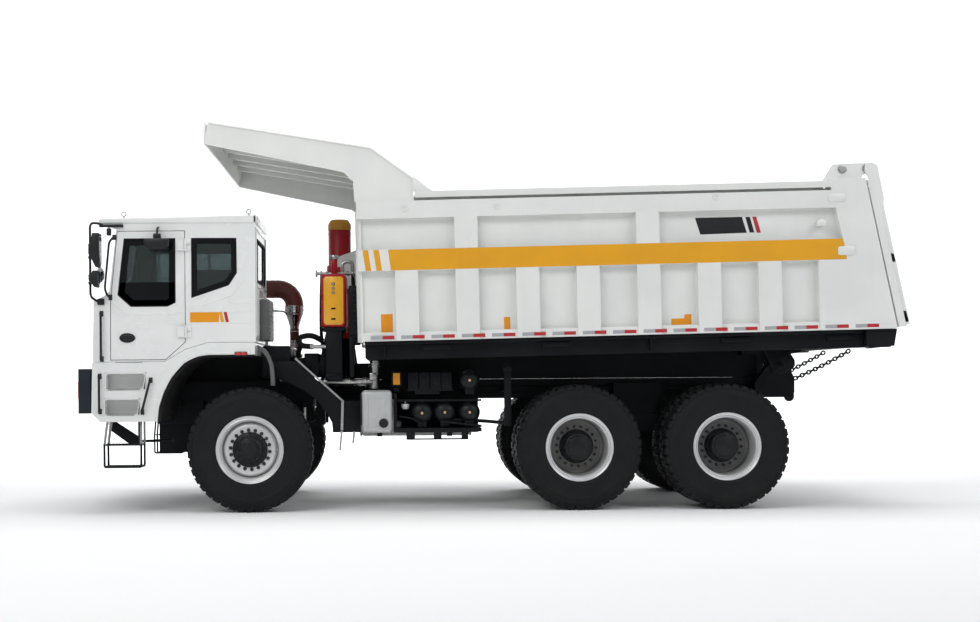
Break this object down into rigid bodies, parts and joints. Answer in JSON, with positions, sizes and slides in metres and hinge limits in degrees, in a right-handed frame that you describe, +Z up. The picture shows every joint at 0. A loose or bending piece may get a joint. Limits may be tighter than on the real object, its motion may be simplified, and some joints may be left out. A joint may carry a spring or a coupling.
{
  "type": "mining dump truck",
  "caption": "Rigid-frame mining dump truck with an offset cab, steered front wheels, twin-tyred tandem rear axles, a telescopic hoist and a canopied tipping body with a top-hung tailgate.",
  "frame": {"origin": "on the ground, midway along the overall length and width", "axes": "+X towards the tail, +Y towards the truck's right-hand side, +Z up; the truck faces -X"},
  "size_m": [9.7667, 4.526, 4.6241],
  "materials": {
    "white_paint": "gloss",
    "chassis_black": "satin",
    "black_plastic": "matt",
    "tinted_glass": "tinted",
    "silver_tank": "satin",
    "red_paint": "gloss",
    "yellow_paint": "gloss",
    "polished_steel": "polished",
    "brown_hose": "satin",
    "seat_fabric": "woven",
    "tyre_rubber": "matt",
    "rim_silver": "silver paint"
  },
  "bodies": {
    "chassis": {"chassis_frame": "chassis_black", "front_bumper": "black_plastic", "front_axle": "chassis_black", "mid_axle": "chassis_black", "rear_axle": "chassis_black", "bogie_spring_left": "chassis_black", "bogie_spring_right": "chassis_black", "engine_block": "chassis_black", "fuel_tank": "silver_tank", "air_tank_rack": "chassis_black", "coolant_tank": "silver_tank", "hydraulic_tank": "red_paint", "cab_shell": "white_paint", "cab_base": "white_paint", "hood": "white_paint", "ladder_left": "black_plastic", "ladder_right": "black_plastic", "windscreen": "tinted_glass", "quarter_glass": "tinted_glass", "right_glass": "tinted_glass", "rear_glass": "tinted_glass", "mirror_left": "black_plastic", "mirror_right": "black_plastic", "deck_rail": "white_paint", "seat": "seat_fabric", "dashboard": "black_plastic", "air_cleaner": "chassis_black", "intake_duct": "brown_hose"},
    "knuckle_left": {"knuckle_left": "chassis_black"},
    "knuckle_right": {"knuckle_right": "chassis_black"},
    "tie_rod": {"tie_rod": "chassis_black"},
    "wheel_front_left": {"tyre_front_left": "tyre_rubber", "rim_front_left": "rim_silver"},
    "wheel_mid_left": {"rim_mid_left": "rim_silver", "tyre_mid_left_outer": "tyre_rubber", "tyre_mid_left_inner": "tyre_rubber"},
    "wheel_rear_left": {"rim_rear_left": "rim_silver", "tyre_rear_left_outer": "tyre_rubber", "tyre_rear_left_inner": "tyre_rubber"},
    "wheel_front_right": {"tyre_front_right": "tyre_rubber", "rim_front_right": "rim_silver"},
    "wheel_mid_right": {"rim_mid_right": "rim_silver", "tyre_mid_right_outer": "tyre_rubber", "tyre_mid_right_inner": "tyre_rubber"},
    "wheel_rear_right": {"rim_rear_right": "rim_silver", "tyre_rear_right_outer": "tyre_rubber", "tyre_rear_right_inner": "tyre_rubber"},
    "dump_body": {"body_tub": "white_paint", "body_underframe": "chassis_black", "body_sill_left": "chassis_black", "body_sill_right": "chassis_black", "canopy": "white_paint"},
    "tailgate": {"tailgate": "white_paint"},
    "door_left": {"door_left": "white_paint", "door_glass": "tinted_glass"},
    "hoist_ram": {"hoist_ram": "polished_steel"},
    "hoist_stage_2": {"hoist_stage_2": "polished_steel"},
    "hoist_stage_1": {"hoist_stage_1": "polished_steel"},
    "hoist_cover": {"hoist_cover": "red_paint", "hoist_cap": "yellow_paint"}
  },
  "joints": [
    {"name": "steer_left", "type": "hinge", "parent": "chassis", "child": "knuckle_left", "pos_m": [-2.87, -1.36, 0.745], "axis": [0, 0, 1], "range_deg": [-32, 32]},
    {"name": "steer_right", "type": "hinge", "parent": "chassis", "child": "knuckle_right", "pos_m": [-2.87, 1.36, 0.745], "axis": [0, 0, 1], "range_deg": [-32, 32]},
    {"name": "tie_rod_slide", "type": "slide", "parent": "chassis", "child": "tie_rod", "axis": [0, 1, 0], "range_m": [-0.1176, 0.1176]},
    {"name": "spin_front_left", "type": "hinge", "parent": "knuckle_left", "child": "wheel_front_left", "pos_m": [-2.87, -1.67, 0.745], "axis": [0, 1, 0], "continuous": true},
    {"name": "spin_mid_left", "type": "hinge", "parent": "chassis", "child": "wheel_mid_left", "pos_m": [1.04, -1.415, 0.745], "axis": [0, 1, 0], "continuous": true},
    {"name": "spin_rear_left", "type": "hinge", "parent": "chassis", "child": "wheel_rear_left", "pos_m": [2.79, -1.415, 0.745], "axis": [0, 1, 0], "continuous": true},
    {"name": "spin_front_right", "type": "hinge", "parent": "knuckle_right", "child": "wheel_front_right", "pos_m": [-2.87, 1.67, 0.745], "axis": [0, 1, 0], "continuous": true},
    {"name": "spin_mid_right", "type": "hinge", "parent": "chassis", "child": "wheel_mid_right", "pos_m": [1.04, 1.415, 0.745], "axis": [0, 1, 0], "continuous": true},
    {"name": "spin_rear_right", "type": "hinge", "parent": "chassis", "child": "wheel_rear_right", "pos_m": [2.79, 1.415, 0.745], "axis": [0, 1, 0], "continuous": true},
    {"name": "body_tip", "type": "hinge", "parent": "chassis", "child": "dump_body", "pos_m": [3.68, 0, 1.7], "axis": [0, 1, 0], "range_deg": [0, 48]},
    {"name": "gate_swing", "type": "hinge", "parent": "dump_body", "child": "tailgate", "pos_m": [4.43608, 0, 4.01442], "axis": [0, -1, 0], "range_deg": [0, 55]},
    {"name": "door_swing", "type": "hinge", "parent": "chassis", "child": "door_left", "pos_m": [-3.6, -1.978, 2.6], "axis": [0, 0, 1], "range_deg": [0, 75]},
    {"name": "hoist_lean", "type": "hinge", "parent": "dump_body", "child": "hoist_cover", "pos_m": [-1.85, 0, 2.99], "axis": [0, -1, 0], "range_deg": [0, 20.42]},
    {"name": "hoist_slide_1", "type": "slide", "parent": "hoist_cover", "child": "hoist_stage_1", "axis": [0, 0, -1], "range_m": [0, 1.462]},
    {"name": "hoist_slide_2", "type": "slide", "parent": "hoist_stage_1", "child": "hoist_stage_2", "axis": [0, 0, -1], "range_m": [0, 1.462]},
    {"name": "hoist_slide_3", "type": "slide", "parent": "hoist_stage_2", "child": "hoist_ram", "axis": [0, 0, -1], "range_m": [0, 1.462]}
  ],
  "couplings": [
    {"joint": "steer_right", "follows": "steer_left", "ratio": 1},
    {"joint": "tie_rod_slide", "follows": "steer_left", "m_per_rad": 0.20874},
    {"joint": "hoist_lean", "follows": "body_tip", "ratio": 0.42122},
    {"joint": "hoist_slide_1", "follows": "body_tip", "m_per_rad": 1.7397},
    {"joint": "hoist_slide_2", "follows": "body_tip", "m_per_rad": 1.7397},
    {"joint": "hoist_slide_3", "follows": "body_tip", "m_per_rad": 1.7397}
  ]
}
